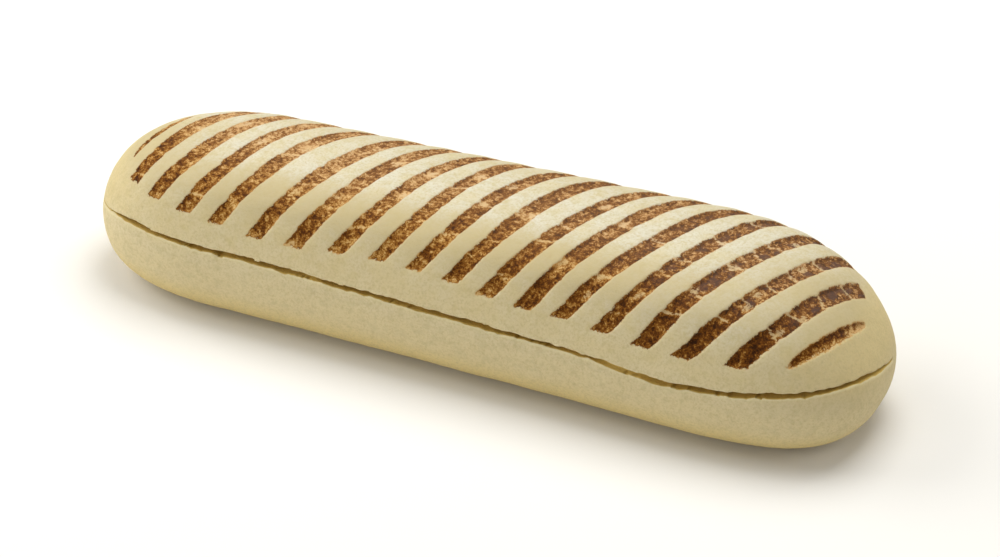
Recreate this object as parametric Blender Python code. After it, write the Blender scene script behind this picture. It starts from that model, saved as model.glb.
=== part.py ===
"""Panini baguette: one pale loaf with nineteen pressed grill marks and a hinge cut.

Metres, +Z up.  X runs along the loaf, the cut opens on the -Y side, and the origin is the
middle of the flat underside that the loaf was baked on.
"""

import math

import bmesh
import bpy
from mathutils import Matrix, Vector

MM = 0.001

# The loaf: its length, then its sections at even places from the -X tip to the +X tip, each
# with its half width, the level of its crown and how far its middle line lies off straight
LENGTH = 270 * MM
SECTIONS = [
    (half * MM, crown * MM, drift * MM)
    for half, crown, drift in (
        (35.8, 47.4, -3.5),
        (36.3, 47.7, -0.2),
        (37.0, 48.2, 0.6),
        (38.2, 48.6, 1.1),
        (39.3, 49.2, 1.5),
        (40.4, 49.9, 0.2),
        (41.5, 49.0, -4.9),
    )
]
WIDEST_LEVEL = 20 * MM

# The rounding: plan depth of each end, and the powers of the squared-off curves
LEFT_END_DEPTH, LEFT_END_POWER = 52.5 * MM, 2.1
RIGHT_END_DEPTH, RIGHT_END_POWER = 72 * MM, 2.6
CROWN_SPREAD, CROWN_ROUND = 4.8, 1.6
BELLY_SPREAD, BELLY_ROUND = 5.8, 2.5
BAKED_FLAT = 0.6 * MM

# The grill bars: even places along the loaf, then how each trace crosses it.
# Crossing lengths are shifts along X between the middle line and the far side.
BARS = 19
FIRST_BAR = -123.5 * MM
LAST_BAR = 129.7 * MM
BAR_SLANT, BAR_FAN = 11.8 * MM, 3.7 * MM
BAR_BOW, BAR_BOW_FAN = 7.6 * MM, -2.6 * MM
BAR_CURL = 15 * MM
BAR_WIDTH = 6.0 * MM
BAR_SPACING = (LAST_BAR - FIRST_BAR) / (BARS - 1)
MIDDLE_BAR = (BARS - 1) / 2

# The loaf lay unevenly under the bars: shift of each mark along X, from the -X end
BAR_SHIFTS = [
    shift * MM
    for shift in (
        6.7, 1.2, -0.3, -0.7, -1.5, 0.5, 0.4, 0.5, 0.2, -0.3,
        -0.4, 0.2, -0.3, -0.4, 0, 0.8, 1, 0.1, -3.2,
    )
]
NARROW_ENDS = {0: 0.5, BARS - 1: 0.75}

# The pressed relief: its depth at the middle bar and what it gains towards the last one, the
# lowest level that the bars touch, and the part of a mark's width that its flanks take
PRESS_DEPTH, PRESS_GAIN = 0.9 * MM, 0.3 * MM
RIDGE_SWELL = 0.3 * MM
REACH_LEVEL, REACH_TILT = 35.2 * MM, -1.6 * MM
FIRST_REACH_LEVEL = 42.5 * MM
REACH_RAMP = 2.2 * MM
FLANKS = 0.26
MID_RIDGE = 0.5

# The hinge cut: places of its wandering line along the near side, as (x, level).  From the
# near side it sinks a little towards the hinge.
CUT_LINE = [
    (x * MM, level * MM)
    for x, level in (
        (-140, 29.5), (-127, 29.9), (-115, 30.6), (-100, 29.7), (-84, 29.1), (-66, 29.3),
        (-50, 28.7), (-25, 28.1), (0, 27.5), (25, 26.9), (50, 26.2), (61, 24.9), (73, 24.1),
        (85, 24.9), (96, 25.8), (107, 27.7), (117, 29.6), (126, 32.0), (132, 33.2), (140, 31.0),
    )
]
CUT_GAP = 1.3 * MM
CUT_BACK = 3 * MM
CUT_SINK = 0.2
NEAR_SIDE = -40 * MM
CUT_STEPS = 72
BLADE_FRONT = -65 * MM
BLADE_LENGTH = 290 * MM

# Facets, and how closely the skin is searched for
AROUND = 52
END_RINGS = 8
TIP_SEARCH = 3
HALVINGS = 40
NUDGE = 1e-4
PLANE_TOLERANCE = 0.01 * MM
SHARP_ANGLE = math.radians(40)

CRUST_COLOUR = (0.62, 0.54, 0.36, 1)
CRUST_ROUGHNESS = 0.8

HALF = LENGTH / 2


def smooth_step(low, high, value):
    """0 below low and 1 above high, with an easy curve between."""
    part = min(max((value - low) / (high - low), 0), 1)
    return part * part * (3 - 2 * part)


def hermite(start, end, leave, arrive, part):
    """A smooth curve from start to end, which leaves and arrives at the given slopes."""
    rise = end - start
    bend = 3 * rise - 2 * leave - arrive
    twist = leave + arrive - 2 * rise
    return start + leave * part + bend * part ** 2 + twist * part ** 3


def section(x):
    """The loaf's section at a place along it, read from a smooth curve through SECTIONS.

    Args:
        x: the place along the loaf.

    Returns:
        Its half width, crown level and drift of the middle line.
    """
    last = len(SECTIONS) - 1
    place = min(max(x / LENGTH + 0.5, 0), 1) * last
    here = min(int(place), last - 1)
    part = place - here
    rows = [SECTIONS[min(max(here + offset, 0), last)] for offset in (-1, 0, 1, 2)]
    return [
        hermite(start, end, (end - before) / 2, (after - start) / 2, part)
        for before, start, end, after in zip(*rows)
    ]


def bar_x(bar, across):
    """X of the trace of a bar, at a place across the loaf from -1 (near side) to 1."""
    turn = (bar - MIDDLE_BAR) / MIDDLE_BAR
    even = FIRST_BAR + BAR_SPACING * bar
    slant = (BAR_SLANT + BAR_FAN * turn) * across
    bow = (BAR_BOW + BAR_BOW_FAN * turn) * across ** 2
    return even + slant + bow + BAR_CURL * across ** 3


def plan_distance(bar, across):
    """0 on the loaf's core and 1 on its plan outline, for a point on a bar's trace."""
    x = bar_x(bar, across)
    depth, power = (RIGHT_END_DEPTH, RIGHT_END_POWER) if x > 0 else (LEFT_END_DEPTH, LEFT_END_POWER)
    end = max(0, abs(x) - (HALF - depth)) / depth
    return (end ** power + abs(across) ** power) ** (1 / power)


def is_inside(bar, across, level):
    """Whether a point on a bar's upright sheet is inside the bread."""
    distance = plan_distance(bar, across)
    if distance >= 1:
        return False
    if level >= WIDEST_LEVEL:
        rise = section(bar_x(bar, across))[1] - WIDEST_LEVEL
        return level - WIDEST_LEVEL < rise * (1 - distance ** CROWN_SPREAD) ** (1 / CROWN_ROUND)
    drop = WIDEST_LEVEL + BAKED_FLAT
    return WIDEST_LEVEL - level < drop * (1 - distance ** BELLY_SPREAD) ** (1 / BELLY_ROUND)


def halve(low, high, is_low):
    """The value between low and high at which is_low stops holding."""
    for _ in range(HALVINGS):
        middle = (low + high) / 2
        if is_low(middle):
            low = middle
        else:
            high = middle
    return low


def sheet_middle(bar):
    """The place across the loaf where a bar's sheet runs deepest inside the outline."""
    return halve(-1, 1, lambda u: plan_distance(bar, u + NUDGE) < plan_distance(bar, u - NUDGE))


def outline_bar(inner, outer):
    """The bar number at which the sheets leave the loaf, between inner and outer."""
    return halve(inner, outer, lambda bar: plan_distance(bar, sheet_middle(bar)) < 1)


def mark_place(mark):
    """Bar number of a mark, counting its own shift."""
    return mark + BAR_SHIFTS[mark] / BAR_SPACING


def mark_half_width(mark):
    """Half width of a mark with its flanks, counted in bar spacings."""
    return NARROW_ENDS.get(mark, 1) * BAR_WIDTH / 2 / BAR_SPACING


def floor_half_width(mark):
    """Half width of a mark's pressed floor, counted in bar spacings."""
    return mark_half_width(mark) * (1 - FLANKS)


def stations():
    """Bar numbers of every ring of the loaf's skin, from tip to tip.

    Each mark has rings at the edges of its floor and at the tops of its flanks, with one ring
    on the ridge between two marks, and the rings crowd together at both tips.
    """
    rings = []
    for mark in range(BARS):
        place = mark_place(mark)
        half = mark_half_width(mark)
        floor = floor_half_width(mark)
        rings += [place - half, place - floor, place + floor, place + half]
        if mark + 1 < BARS:
            ridge_end = mark_place(mark + 1) - mark_half_width(mark + 1)
            rings.append((place + half + ridge_end) / 2)
    first, last = rings[0], rings[-1]
    left_tip = outline_bar(first, first - TIP_SEARCH)
    right_tip = outline_bar(last, last + TIP_SEARCH)
    curve = [math.sin(math.pi / 2 * ring / END_RINGS) for ring in range(1, END_RINGS + 1)]
    left = [first + (left_tip - first) * part for part in reversed(curve)]
    right = [last + (right_tip - last) * part for part in curve]
    return left + rings + right


def relief(bar, level):
    """How far the grill pressed the skin down at a station, for a point at a level."""
    mark = min(range(BARS), key=lambda number: abs(bar - mark_place(number)))
    half = mark_half_width(mark)
    distance = abs(bar - mark_place(mark))
    ridge = smooth_step(floor_half_width(mark), half, distance)
    turn = (bar - MIDDLE_BAR) / MIDDLE_BAR
    lowest = FIRST_REACH_LEVEL if mark == 0 else REACH_LEVEL + REACH_TILT * turn
    reach = smooth_step(lowest, lowest + REACH_RAMP, level)
    deep = PRESS_DEPTH + PRESS_GAIN * turn
    is_between_bars = 0 <= bar <= BARS - 1
    swell = RIDGE_SWELL * smooth_step(half, MID_RIDGE, distance) if is_between_bars else 0
    return reach * (deep * (1 - ridge) - swell)


def skin_point(bar, angle):
    """The skin along a ray from the middle of a station's sheet.

    Args:
        bar: the station's bar number.
        angle: the ray's angle from the far side, turning over the crown.

    Returns:
        The point, as a Vector.
    """
    middle = sheet_middle(bar)
    wide = section(bar_x(bar, middle))[0]
    turn, climb = math.cos(angle) / wide, math.sin(angle)
    reach = halve(0, HALF, lambda r: is_inside(bar, middle + r * turn, WIDEST_LEVEL + r * climb))
    across = middle + reach * turn
    level = WIDEST_LEVEL + reach * climb
    x = bar_x(bar, across)
    wide, _, drift = section(x)
    return Vector((x, drift + wide * across, level - relief(bar, level)))


def crust_material():
    """Pale, matt, soft-baked crust."""
    material = bpy.data.materials.new("crust")
    material.use_nodes = True
    shader = material.node_tree.nodes["Principled BSDF"]
    shader.inputs["Base Color"].default_value = CRUST_COLOUR
    shader.inputs["Roughness"].default_value = CRUST_ROUGHNESS
    shader.inputs["Metallic"].default_value = 0
    return material


def add_object(name, shape):
    """Turn a bmesh into an object of the scene."""
    mesh = bpy.data.meshes.new(name)
    shape.to_mesh(mesh)
    shape.free()
    body = bpy.data.objects.new(name, mesh)
    bpy.context.collection.objects.link(body)
    return body


def build_loaf():
    """The uncut loaf: a ball drawn out over the stations, with its underside trimmed flat."""
    rings = stations()
    shape = bmesh.new()
    bmesh.ops.create_uvsphere(
        shape,
        u_segments=AROUND,
        v_segments=len(rings) - 1,
        radius=1,
        matrix=Matrix.Rotation(math.pi / 2, 4, "Y"),
    )
    for corner in shape.verts:
        turned = math.acos(min(max(-corner.co.x, -1), 1)) / math.pi
        station = rings[round(turned * (len(rings) - 1))]
        corner.co = skin_point(station, math.atan2(corner.co.z, corner.co.y))
    trimmed = bmesh.ops.bisect_plane(
        shape,
        geom=shape.verts[:] + shape.edges[:] + shape.faces[:],
        dist=PLANE_TOLERANCE,
        plane_co=(0, 0, 0),
        plane_no=(0, 0, -1),
        clear_outer=True,
    )
    rim = [item for item in trimmed["geom_cut"] if isinstance(item, bmesh.types.BMEdge)]
    bmesh.ops.holes_fill(shape, edges=rim)
    bmesh.ops.recalc_face_normals(shape, faces=shape.faces)
    low = Vector([min(corner.co[axis] for corner in shape.verts) for axis in range(3)])
    high = Vector([max(corner.co[axis] for corner in shape.verts) for axis in range(3)])
    loaf = add_object("loaf", shape)
    loaf.location = (-(low.x + high.x) / 2, -(low.y + high.y) / 2, -low.z)
    return loaf


def cut_slope(place):
    """Slope of the cut's line at one of its places, between the places on both sides of it."""
    before, after = CUT_LINE[max(place - 1, 0)], CUT_LINE[min(place + 1, len(CUT_LINE) - 1)]
    return (after[1] - before[1]) / (after[0] - before[0])


def cut_level(x):
    """Level of the cut's middle, read from a smooth curve through the places of its line."""
    here = max([place for place, (start, _) in enumerate(CUT_LINE[:-1]) if start <= x], default=0)
    (x_from, from_level), (x_to, to_level) = CUT_LINE[here], CUT_LINE[here + 1]
    length = x_to - x_from
    part = min(max((x - x_from) / length, 0), 1)
    return hermite(
        from_level, to_level, cut_slope(here) * length, cut_slope(here + 1) * length, part
    )


def build_cutter():
    """The thin wandering slab that the blade took through both ends, short of the far side."""
    breadth = CUT_BACK - BLADE_FRONT
    shape = bmesh.new()
    bmesh.ops.create_grid(
        shape,
        x_segments=CUT_STEPS,
        y_segments=1,
        size=0.5,
        matrix=Matrix.Diagonal((BLADE_LENGTH, breadth, 1, 1)),
    )
    for corner in shape.verts:
        corner.co.y += BLADE_FRONT + breadth / 2
        sink = CUT_SINK * (corner.co.y - NEAR_SIDE)
        corner.co.z = cut_level(corner.co.x) - sink - CUT_GAP / 2
    raised = bmesh.ops.extrude_face_region(shape, geom=shape.faces[:])
    lifted = [item for item in raised["geom"] if isinstance(item, bmesh.types.BMVert)]
    bmesh.ops.translate(shape, verts=lifted, vec=(0, 0, CUT_GAP))
    bmesh.ops.recalc_face_normals(shape, faces=shape.faces)
    cutter = add_object("hinge_cut", shape)
    cutter.hide_render = True
    cutter.display_type = "WIRE"
    return cutter


def main():
    """Build the loaf and cut it."""
    for old in list(bpy.data.objects):
        bpy.data.objects.remove(old, do_unlink=True)
    loaf = build_loaf()
    loaf.data.materials.append(crust_material())
    loaf.data.shade_smooth()
    loaf.data.set_sharp_from_angle(angle=SHARP_ANGLE)
    cutter = build_cutter()
    cutter.parent = loaf
    slot = loaf.modifiers.new("hinge cut", "BOOLEAN")
    slot.operation = "DIFFERENCE"
    slot.solver = "EXACT"
    slot.object = cutter


main()
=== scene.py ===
"""Panini baguette: the baked and grilled look of the loaf, over the frame's plain solid.

Metres, +Z up.  X runs along the loaf and the hinge cut opens on its -Y side.
"""

import logging
import math
from collections.abc import Callable
from dataclasses import dataclass, field
from enum import Enum

import bmesh
import bpy
import numpy as np
from mathutils import Matrix, Vector, noise


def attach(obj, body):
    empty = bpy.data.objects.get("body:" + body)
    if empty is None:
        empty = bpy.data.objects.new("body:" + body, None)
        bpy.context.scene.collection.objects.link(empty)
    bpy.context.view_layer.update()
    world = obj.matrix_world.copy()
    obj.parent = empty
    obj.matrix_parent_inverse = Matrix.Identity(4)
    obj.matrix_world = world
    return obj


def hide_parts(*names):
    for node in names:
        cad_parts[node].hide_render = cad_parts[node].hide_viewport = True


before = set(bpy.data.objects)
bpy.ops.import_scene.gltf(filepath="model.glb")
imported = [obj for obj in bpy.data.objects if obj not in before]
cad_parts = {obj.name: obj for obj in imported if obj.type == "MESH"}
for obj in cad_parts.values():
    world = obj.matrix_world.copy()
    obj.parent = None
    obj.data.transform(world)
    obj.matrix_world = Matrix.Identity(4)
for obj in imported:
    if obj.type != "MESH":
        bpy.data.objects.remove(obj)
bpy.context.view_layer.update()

logging.basicConfig(level=logging.INFO, format="%(message)s")
LOG = logging.getLogger("panini baguette")

MM = 0.001
HALVINGS = 36

Colour = tuple[float, float, float]
Place = tuple[float, float, float]
Pair = tuple[float, float]
Span = tuple[float, float]
Value = "float | Colour | Signal"


def smooth_step(low: float, high: float, value: np.ndarray | float) -> np.ndarray:
    """Ease from 0 to 1.

    Args:
        low: the value up to which it is 0.
        high: the value from which it is 1; it may be the lower of the two.
        value: the values to ease.

    Returns:
        Where each value has got to.
    """
    part = np.clip((value - low) / (high - low), 0, 1)
    return part * part * (3 - 2 * part)


def halve(
    low: np.ndarray, high: np.ndarray, is_low: Callable[[np.ndarray], np.ndarray]
) -> np.ndarray:
    """Search between two bounds, for many points at once.

    Args:
        low: a bound at which is_low holds.
        high: a bound at which it doesn't.
        is_low: the test, of one value a point.

    Returns:
        The values at which is_low stops holding.
    """
    for _ in range(HALVINGS):
        middle = (low + high) / 2
        keeps = is_low(middle)
        low = np.where(keeps, middle, low)
        high = np.where(keeps, high, middle)
    return low


def bell(off: np.ndarray | float) -> np.ndarray:
    """1 at 0, falling away on both sides to about a third at 1."""
    return np.exp(-(off**2))


def lumps(place: Place, sizes: Pair, fine_share: float) -> float:
    """Soft noise about 0 at a place, in two sizes.

    Args:
        place: the place, in any unit.
        sizes: the sizes of the large and of the small lumps, in the same unit.
        fine_share: how strong the small lumps are against the large ones.

    Returns:
        The noise.
    """
    large, small = (noise.noise(Vector(place) / size) for size in sizes)
    return large + fine_share * small


def srgb(red: int, green: int, blue: int) -> Colour:
    """A colour seen on a screen, from 0 to 255 each, as the shader's linear colour."""
    return tuple(((part / 255 + 0.055) / 1.055) ** 2.4 for part in (red, green, blue))


# ---------------------------------------------------------------- the loaf's form


@dataclass(frozen=True)
class GrillBars:
    """Where the bars of the grill crossed the loaf, and how hard and how far they pressed.

    Places across the loaf run from -1 on its near side to 1 on its far side.  A mark's shifts
    are those of its near, middle and far part, and its half widths those of its near end and
    of the rest, all in millimetres.  Its hook bends it back beyond the crown.  Breaks and bald
    patches lie at millimetres from its near end.
    """

    first: float = -123.5 * MM
    spacing: float = 253.2 / 18 * MM
    slant: float = 11.8 * MM
    fan: float = 3.7 * MM
    bow: float = 7.6 * MM
    bow_fan: float = -2.6 * MM
    curl: float = 15 * MM
    shifts: tuple[tuple[float, float, float], ...] = (
        (5.3, 6.1, 6.7), (-1.8, 1.9, 1.3), (-1.4, 0.5, 0.1), (-0.1, -0.8, 0.6), (-0.8, -1.6, 0.5),
        (0.4, 0.7, 1.6), (0.9, 0.5, 0.4), (1.8, 0.3, -0.4), (2.2, -0.6, -1.6), (1.7, -1.1, -2.0),
        (1.2, -1.0, -1.6), (0.7, 0.1, 0.8), (0.4, -0.3, 0.6), (-0.6, 0.1, -0.1), (0.3, 0.3, 0.6),
        (1.0, 0.9, 3.5), (0.9, 1.8, 0.3), (0.3, 0.3, -2.6), (-3.2, -2.9, -2.9),
    )
    shift_reach: float = 0.9
    hooks: tuple[tuple[int, float], ...] = (
        (8, 1.5), (14, 2.0), (15, 4.0), (16, 4.0), (17, 0.8),
    )
    hook_reach: Span = (0.25, 0.75)
    kick: float = 1.4 * MM
    kick_gain: float = 0.7 * MM
    kick_reach: float = 3.0 * MM
    unkicked: tuple[int, ...] = (0, 17, 18)
    sway: float = 0.35 * MM
    sway_peak: float = 15 * MM
    sway_length: float = 40 * MM
    sway_turns: float = 1.5
    half_widths: tuple[Pair, ...] = (
        (1.3, 1.3), (3.0, 3.4), (3.2, 3.0), (3.1, 3.0), (2.8, 3.2), (3.0, 3.5), (3.2, 3.2),
        (3.1, 2.9), (2.8, 2.9), (2.9, 3.1), (3.0, 3.5), (3.2, 3.2), (3.2, 3.4), (3.0, 3.3),
        (3.1, 3.3), (3.3, 3.4), (3.0, 3.0), (2.9, 3.0), (1.8, 1.9),
    )
    near_ends: tuple[float, ...] = (
        -0.34, -0.61, -0.77, -0.86, -0.89, -0.91, -0.91, -0.89, -0.88, -0.88,
        -0.89, -0.91, -0.92, -0.92, -0.93, -0.94, -0.93, -0.87, -0.71,
    )
    far_ends: tuple[float, ...] = (
        0.40, 0.66, 0.80, 0.86, 0.88, 0.90, 0.89, 0.90, 0.88, 0.89,
        0.90, 0.89, 0.88, 0.87, 0.85, 0.78, 0.62, 0.31, 0.0,
    )
    breaks: tuple[tuple[float, ...], ...] = (
        (9, 17), (3, 13), (14, 38), (7, 21), (9, 38), (18, 26, 38), (18, 30), (11, 20),
        (18, 27, 41), (16, 35), (19, 36), (8, 27, 37), (20, 46), (19, 43), (8, 28, 37, 52, 69),
        (14, 24, 42, 51, 59), (17, 27, 37, 46, 58), (15, 25, 37, 49), (26,),
    )
    bald: tuple[tuple[float, ...], ...] = (
        (5, 16, 24), (31,), (46,), (40,), (43,), (21, 56), (1, 23, 49), (30, 46), (50,), (35, 49),
        (36,), (54,), (20, 47), (10, 18), (16, 52), (25, 41, 66), (25, 32, 52), (17, 27), (1, 31),
    )
    depth: float = 0.62 * MM
    depth_gain: float = 0.35 * MM
    floor_part: float = 0.78
    lip: float = 0.06 * MM
    ridge_swell: float = 0.18 * MM
    reach_level: float = 35.2 * MM
    reach_tilt: float = -1.6 * MM
    reach_ramp: float = 2.2 * MM

    @property
    def count(self) -> int:
        """How many marks there are."""
        return len(self.shifts)

    def traces(self, across: np.ndarray) -> np.ndarray:
        """Bar number along each mark, counting its own shifts.

        Args:
            across: the place across the loaf of each of its points, one row a mark.

        Returns:
            The bar number of each of those points.
        """
        near, middle, far = (np.array(column)[:, None] * MM for column in zip(*self.shifts))
        part = across / self.shift_reach
        bend, lean = (near + far) / 2 - middle, (far - near) / 2
        shift = middle + lean * part + bend * part**2
        for mark, hook in self.hooks:
            shift[mark] -= hook * MM * smooth_step(*self.hook_reach, across[mark])
        return np.arange(self.count)[:, None] + shift / self.spacing

    def swayed(self, from_near: np.ndarray) -> np.ndarray:
        """How far the marks sway along their length, and kick towards -X at their near ends.

        Args:
            from_near: distances from the near ends, one row a mark.

        Returns:
            The shift of each point, in bar spacings.
        """
        kicks = self.kick + self.kick_gain * self.turn(np.arange(self.count))
        kicks[list(self.unkicked)] = 0
        kicks = kicks[:, None] * np.exp(-np.maximum(from_near, 0) / self.kick_reach)
        swaying = np.clip(from_near, 0, self.sway_turns * self.sway_length)
        turns = (swaying - self.sway_peak) / self.sway_length
        return (self.sway * np.cos(2 * math.pi * turns) - kicks) / self.spacing

    def turn(self, bar: np.ndarray) -> np.ndarray:
        """-1 at the first bar and 1 at the last."""
        middle = (self.count - 1) / 2
        return (bar - middle) / middle

    def x_of(self, bar: np.ndarray, across: np.ndarray) -> np.ndarray:
        """X of the traces of bars, at places across the loaf.

        Args:
            bar: the bar numbers.
            across: the places across the loaf.

        Returns:
            The places along it.
        """
        turn = self.turn(bar)
        slant = (self.slant + self.fan * turn) * across
        bow = (self.bow + self.bow_fan * turn) * across**2
        return self.first + self.spacing * bar + slant + bow + self.curl * across**3


@dataclass(frozen=True)
class LoafForm:
    """The loaf's baked form: squared-off ends, a broad crown and a flat underside.

    A section holds its half width, crown level and drift of the middle line, in millimetres,
    and an end its depth and the power of its outline seen from above.
    """

    bars: GrillBars
    length: float = 270 * MM
    sections: tuple[tuple[float, float, float], ...] = (
        (35.8, 47.4, -3.5),
        (36.3, 47.7, -0.2),
        (37.0, 48.2, 0.6),
        (38.2, 48.6, 1.1),
        (39.3, 49.2, 1.5),
        (40.4, 49.9, 0.2),
        (41.5, 49.0, -4.9),
    )
    widest_level: float = 20 * MM
    left_end: Pair = (52.5 * MM, 2.1)
    right_end: Pair = (72 * MM, 2.6)
    crown_powers: Pair = (4.8, 1.6)
    belly_powers: Pair = (5.8, 2.5)
    baked_flat: float = 0.6 * MM
    table_steps: int = 600

    def section(self, x: np.ndarray) -> np.ndarray:
        """The loaf's section at places along it.

        Args:
            x: the places along the loaf.

        Returns:
            Half width, crown level and drift of the middle line, one row each.
        """
        last = len(self.sections) - 1
        steps = np.linspace(0, last, self.table_steps)
        here = np.minimum(steps.astype(int), last - 1)
        part = (steps - here)[:, None]
        table = np.array(self.sections) * MM
        before, start, end, after = (
            table[np.clip(here + step, 0, last)] for step in (-1, 0, 1, 2)
        )
        leave, arrive, rise = (end - before) / 2, (after - start) / 2, end - start
        bend, twist = 3 * rise - 2 * leave - arrive, leave + arrive - 2 * rise
        smooth = start + leave * part + bend * part**2 + twist * part**3
        place = (np.asarray(x) / self.length + 0.5) * last
        return np.stack([np.interp(place, steps, smooth[:, column]) for column in range(3)])

    def plan_distance(self, bar: np.ndarray, across: np.ndarray) -> np.ndarray:
        """How far out on the loaf points of the bars' traces are, seen from above.

        Args:
            bar: the bar number of each point.
            across: its place across the loaf.

        Returns:
            0 on the loaf's core to 1 on its outline.
        """
        x = self.bars.x_of(bar, across)
        depth = np.where(x > 0, self.right_end[0], self.left_end[0])
        power = np.where(x > 0, self.right_end[1], self.left_end[1])
        end = np.maximum(0, np.abs(x) - (self.length / 2 - depth)) / depth
        return (end**power + np.abs(across) ** power) ** (1 / power)

    def is_inside(self, bar: np.ndarray, across: np.ndarray, level: np.ndarray) -> np.ndarray:
        """Whether points on the bars' upright sheets are inside the bread.

        Args:
            bar: the bar number of each point.
            across: its place across the loaf.
            level: its height.

        Returns:
            The answer for each point.
        """
        distance = self.plan_distance(bar, across)
        near = np.minimum(distance, 1)
        crown = self.section(self.bars.x_of(bar, across))[1] - self.widest_level
        above = crown * (1 - near ** self.crown_powers[0]) ** (1 / self.crown_powers[1])
        drop = self.widest_level + self.baked_flat
        below = drop * (1 - near ** self.belly_powers[0]) ** (1 / self.belly_powers[1])
        height = level - self.widest_level
        return (distance < 1) & np.where(height >= 0, height < above, -height < below)

    def sheet_middle(self, bar: np.ndarray) -> np.ndarray:
        """The place across the loaf where each bar's sheet runs deepest inside the outline.

        Args:
            bar: the bar numbers.

        Returns:
            The places.
        """
        nudge = 1e-4
        low = np.full(np.shape(bar), -1.0)

        def falls(across: np.ndarray) -> np.ndarray:
            """Whether the sheets still run inwards at these places."""
            return self.plan_distance(bar, across + nudge) < self.plan_distance(bar, across - nudge)

        return halve(low, -low, falls)

    def tip(self, inner: float, outer: float) -> float:
        """The bar number at which the sheets leave the loaf.

        Args:
            inner: a bar number whose sheet cuts the loaf.
            outer: one whose sheet misses it.

        Returns:
            The bar number of the loaf's tip, between the two.
        """

        def cuts_loaf(bar: np.ndarray) -> np.ndarray:
            """Whether a bar's sheet still cuts the loaf."""
            return self.plan_distance(bar, self.sheet_middle(bar)) < 1

        return float(halve(np.array(inner), np.array(outer), cuts_loaf))

    def skin(self, bar: np.ndarray, angle: np.ndarray) -> tuple[np.ndarray, np.ndarray]:
        """The skin along rays from the middle of each station's sheet.

        Args:
            bar: the bar number of each point.
            angle: each ray's angle from the far side, turning over the crown.

        Returns:
            The points, and each one's place across the loaf.
        """
        middle = self.sheet_middle(bar)
        wide = self.section(self.bars.x_of(bar, middle))[0]
        turn, climb = np.cos(angle) / wide, np.sin(angle) * np.ones_like(bar)
        reach = halve(
            np.zeros_like(bar),
            np.full_like(bar, self.length / 2),
            lambda r: self.is_inside(bar, middle + r * turn, self.widest_level + r * climb),
        )
        across = middle + reach * turn
        x = self.bars.x_of(bar, across)
        wide, _, drift = self.section(x)
        level = self.widest_level + reach * climb
        return np.stack([x, drift + wide * across, level], axis=-1), across


# ---------------------------------------------------------------- the hinge cut


class Lip(Enum):
    """The two lips of the hinge cut, by the side of the gap that each is on."""

    LOWER = -1
    UPPER = 1


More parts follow.
